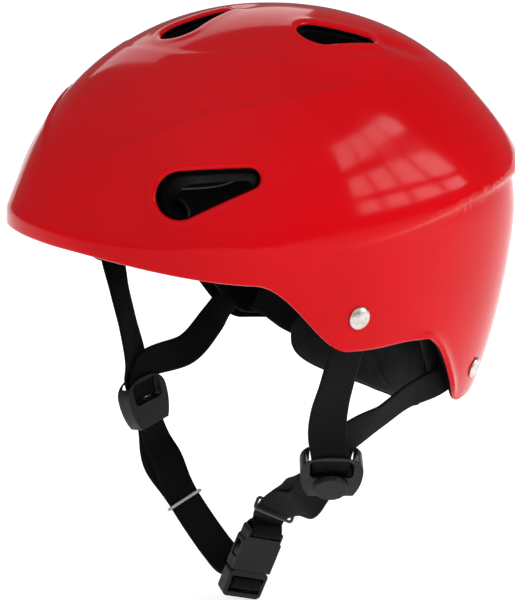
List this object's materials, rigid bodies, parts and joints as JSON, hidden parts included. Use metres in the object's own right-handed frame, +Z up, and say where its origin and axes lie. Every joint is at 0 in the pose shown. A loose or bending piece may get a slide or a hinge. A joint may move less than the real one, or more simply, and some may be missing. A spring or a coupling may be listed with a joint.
{
  "type": "water sports helmet",
  "caption": "Hard-shell water helmet with foam liner, fit pads, nape pad, riveted webbing harness, sliding strap dividers and a side-release chin buckle.",
  "frame": {"origin": "middle of the head, level with the lower edge of the brim", "axes": "+Z up, the wearer faces -Y, the wearer's left side is +X"},
  "size_m": [0.229, 0.296, 0.3504],
  "materials": {
    "shell_red": "injection-moulded ABS, high gloss, coloured through",
    "foam_black": "closed-cell EVA foam, fine matte skin",
    "pad_fabric": "brushed knit over soft foam",
    "nape_grey": "soft dark-grey knit over foam with a bound edge",
    "webbing_black": "flat woven polyester webbing",
    "plastic_black": "moulded acetal, satin with a fine spark texture",
    "nickel": "satin nickel-plated brass",
    "keeper_grey": "elastic loop"
  },
  "bodies": {
    "helmet": {"outer_shell": "shell_red", "foam_liner": "foam_black", "crown_pad": "pad_fabric", "front_pad": "pad_fabric", "rear_pad": "pad_fabric", "side_pad_left": "pad_fabric", "side_pad_right": "pad_fabric", "nape_pad": "nape_grey", "nape_band_left": "webbing_black", "nape_band_right": "webbing_black", "rear_strap_left": "webbing_black", "rear_strap_right": "webbing_black", "rivet_front_left": "nickel", "washer_front_left": "plastic_black", "rivet_rear_left": "nickel", "washer_rear_left": "plastic_black", "rivet_front_right": "nickel", "washer_front_right": "plastic_black", "rivet_rear_right": "nickel", "washer_rear_right": "plastic_black"},
    "harness": {"front_strap_left": "webbing_black", "front_strap_right": "webbing_black", "chin_strap_left": "webbing_black", "chin_strap_right": "webbing_black", "buckle_socket": "plastic_black"},
    "divider_body_left": {"divider_left": "plastic_black", "divider_cap_left": "plastic_black"},
    "divider_body_right": {"divider_right": "plastic_black", "divider_cap_right": "plastic_black"},
    "keeper_body_left": {"strap_keeper_left": "keeper_grey"},
    "keeper_body_right": {"strap_keeper_right": "keeper_grey"},
    "plug": {"buckle_plug": "plastic_black"},
    "prong_body_left": {"prong_left": "plastic_black"},
    "prong_body_right": {"prong_right": "plastic_black"}
  },
  "joints": [
    {"name": "harness_swing", "type": "hinge", "parent": "helmet", "child": "harness", "pos_m": [0, -0.0366, -0.0277], "axis": [1, 0, 0], "range_deg": [0, 20], "deforming": ["rear_strap_left", "rear_strap_right", "front_strap_left", "front_strap_right"]},
    {"name": "divider_slide_left", "type": "slide", "parent": "harness", "child": "divider_body_left", "axis": [0.3314, -0.2711, 0.9037], "range_m": [-0.006, 0.005], "deforming": ["chin_strap_left"]},
    {"name": "divider_slide_right", "type": "slide", "parent": "harness", "child": "divider_body_right", "axis": [-0.2005, -0.1203, 0.9723], "range_m": [-0.006, 0.005], "deforming": ["chin_strap_right"]},
    {"name": "keeper_slide_left", "type": "slide", "parent": "harness", "child": "keeper_body_left", "axis": [-0.7074, 0.3159, -0.6323], "range_m": [-0.004, 0.004]},
    {"name": "keeper_slide_right", "type": "slide", "parent": "harness", "child": "keeper_body_right", "axis": [0.6669, 0.1424, -0.7314], "range_m": [-0.004, 0.004]},
    {"name": "buckle_release", "type": "slide", "parent": "harness", "child": "plug", "axis": [-0.16, -0.3334, -0.9291], "range_m": [0, 0.022], "deforming": ["prong_left", "prong_right"]},
    {"name": "prong_squeeze_left", "type": "hinge", "parent": "plug", "child": "prong_body_left", "pos_m": [0.00557, -0.00979, -0.22016], "axis": [0.9491, -0.3106, -0.052], "range_deg": [0, 7], "stiffness_Nm_per_rad": 0.1},
    {"name": "prong_squeeze_right", "type": "hinge", "parent": "plug", "child": "prong_body_right", "pos_m": [0.00102, -0.02475, -0.21401], "axis": [-0.9491, 0.3106, 0.052], "range_deg": [0, 7], "stiffness_Nm_per_rad": 0.1}
  ]
}
